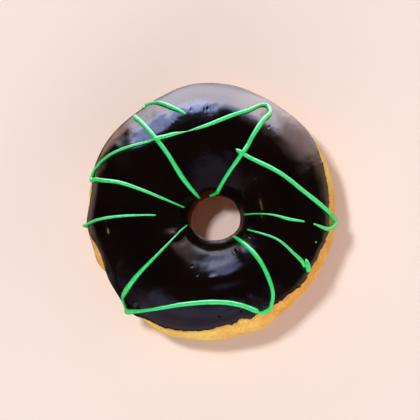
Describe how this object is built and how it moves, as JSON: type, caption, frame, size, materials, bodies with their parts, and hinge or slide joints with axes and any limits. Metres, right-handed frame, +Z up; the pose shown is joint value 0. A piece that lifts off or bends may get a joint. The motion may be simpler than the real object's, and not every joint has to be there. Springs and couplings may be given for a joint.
{
  "type": "chocolate mint doughnut",
  "caption": "Ring doughnut of fried dough with glossy dark chocolate icing over its upper half and thick mint green drizzle across it.",
  "frame": {"origin": "centre of the bounding box's base, on the surface that the doughnut lies on", "axes": "+Z up through the hole, from the resting face to the iced side; +Y towards the picture's top edge and +X towards its right edge"},
  "size_m": [0.0945, 0.096, 0.0343],
  "materials": {
    "dough": "golden fried dough",
    "icing": "glossy near-black chocolate icing",
    "drizzle": "mint green icing, satin"
  },
  "bodies": {
    "root": {"dough": "dough", "icing": "icing"}
  },
  "joints": []
}
